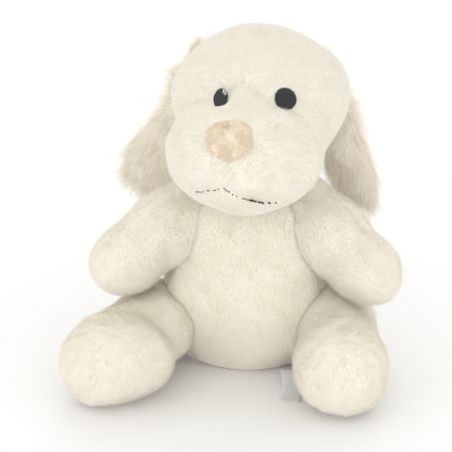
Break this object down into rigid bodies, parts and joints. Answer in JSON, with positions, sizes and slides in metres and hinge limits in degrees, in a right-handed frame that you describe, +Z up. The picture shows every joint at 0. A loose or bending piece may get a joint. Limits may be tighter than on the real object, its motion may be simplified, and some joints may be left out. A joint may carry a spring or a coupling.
{
  "type": "plush dog",
  "caption": "Seated cream plush dog with floppy shaggy ears, a turned head, embroidered eyes and mouth, and soft limbs that bend at their seams",
  "frame": {"origin": "On the floor under the middle of the seat panel", "axes": "+Z up, the dog looks along -Y, and +X is the dog's own left"},
  "size_m": [0.2092, 0.1864, 0.2249],
  "materials": {
    "cream_plush": "short cream plush pile with a soft sheen",
    "ear_plush": "longer shaggy cream pile in locks",
    "nose_plush": "medium beige pile",
    "embroidery": "charcoal satin stitch",
    "filling": "white polyester fibre filling",
    "thread": "cream sewing thread",
    "bag_cloth": "woven cloth bag of plastic beans",
    "satin": "white satin ribbon"
  },
  "bodies": {
    "torso": {"belly_panel": "cream_plush", "back_panel_left": "cream_plush", "back_panel_right": "cream_plush", "seat_panel": "cream_plush", "torso_stuffing": "filling", "bean_bag": "bag_cloth", "closing_thread": "thread", "care_label": "satin"},
    "neck": {"neck_thread": "thread"},
    "head": {"head_side_left": "cream_plush", "head_side_right": "cream_plush", "muzzle_panel": "cream_plush", "chin_panel": "cream_plush", "nose_patch": "nose_plush", "eye_left": "embroidery", "eye_right": "embroidery", "mouth_thread": "embroidery", "head_stuffing": "filling"},
    "ear_left": {"ear_left_outer": "ear_plush", "ear_left_inner": "cream_plush"},
    "arm_left": {"arm_left_front": "cream_plush", "arm_left_back": "cream_plush", "arm_left_stuffing": "filling"},
    "leg_left": {"leg_left_upper": "cream_plush", "leg_left_lower": "cream_plush", "leg_left_sole": "cream_plush", "leg_left_stuffing": "filling"},
    "ear_right": {"ear_right_outer": "ear_plush", "ear_right_inner": "cream_plush"},
    "arm_right": {"arm_right_front": "cream_plush", "arm_right_back": "cream_plush", "arm_right_stuffing": "filling"},
    "leg_right": {"leg_right_upper": "cream_plush", "leg_right_lower": "cream_plush", "leg_right_sole": "cream_plush", "leg_right_stuffing": "filling"},
    "tail": {"tail_upper": "cream_plush", "tail_lower": "cream_plush", "tail_stuffing": "filling"}
  },
  "joints": [
    {"name": "head_turn", "type": "hinge", "parent": "torso", "child": "neck", "pos_m": [0.009, 0, 0.117], "axis": [0, 0, 1], "range_deg": [-8, 26], "stiffness_Nm_per_rad": 0.06},
    {"name": "head_nod", "type": "hinge", "parent": "neck", "child": "head", "pos_m": [0.009, 0, 0.124], "axis": [0.9877, -0.1564, 0], "range_deg": [-8, 8], "stiffness_Nm_per_rad": 0.6},
    {"name": "ear_left_lift", "type": "hinge", "parent": "head", "child": "ear_left", "pos_m": [0.05616, 0.0229, 0.195], "axis": [-0.1564, -0.9877, 0], "range_deg": [0, 60], "stiffness_Nm_per_rad": 0.01},
    {"name": "arm_left_raise", "type": "hinge", "parent": "torso", "child": "arm_left", "pos_m": [0.04924, -0.004, 0.101], "axis": [-0.6428, -0.766, 0], "range_deg": [-2, 40], "stiffness_Nm_per_rad": 0.06},
    {"name": "leg_left_swing", "type": "hinge", "parent": "torso", "child": "leg_left", "pos_m": [0.0645, -0.02, 0.0285], "axis": [0, 0, 1], "range_deg": [-2, 24], "stiffness_Nm_per_rad": 0.06},
    {"name": "ear_right_lift", "type": "hinge", "parent": "head", "child": "ear_right", "pos_m": [-0.02878, 0.03636, 0.195], "axis": [0.1564, 0.9877, 0], "range_deg": [0, 60], "stiffness_Nm_per_rad": 0.01},
    {"name": "arm_right_raise", "type": "hinge", "parent": "torso", "child": "arm_right", "pos_m": [-0.04476, -0.004, 0.101], "axis": [-0.6428, 0.766, 0], "range_deg": [-2, 40], "stiffness_Nm_per_rad": 0.06},
    {"name": "leg_right_swing", "type": "hinge", "parent": "torso", "child": "leg_right", "pos_m": [-0.0645, -0.02, 0.0285], "axis": [0, 0, -1], "range_deg": [-2, 24], "stiffness_Nm_per_rad": 0.06},
    {"name": "tail_wag", "type": "hinge", "parent": "torso", "child": "tail", "pos_m": [0, 0.0485, 0.02], "axis": [0, 0, 1], "range_deg": [-30, 30], "stiffness_Nm_per_rad": 0.01}
  ]
}
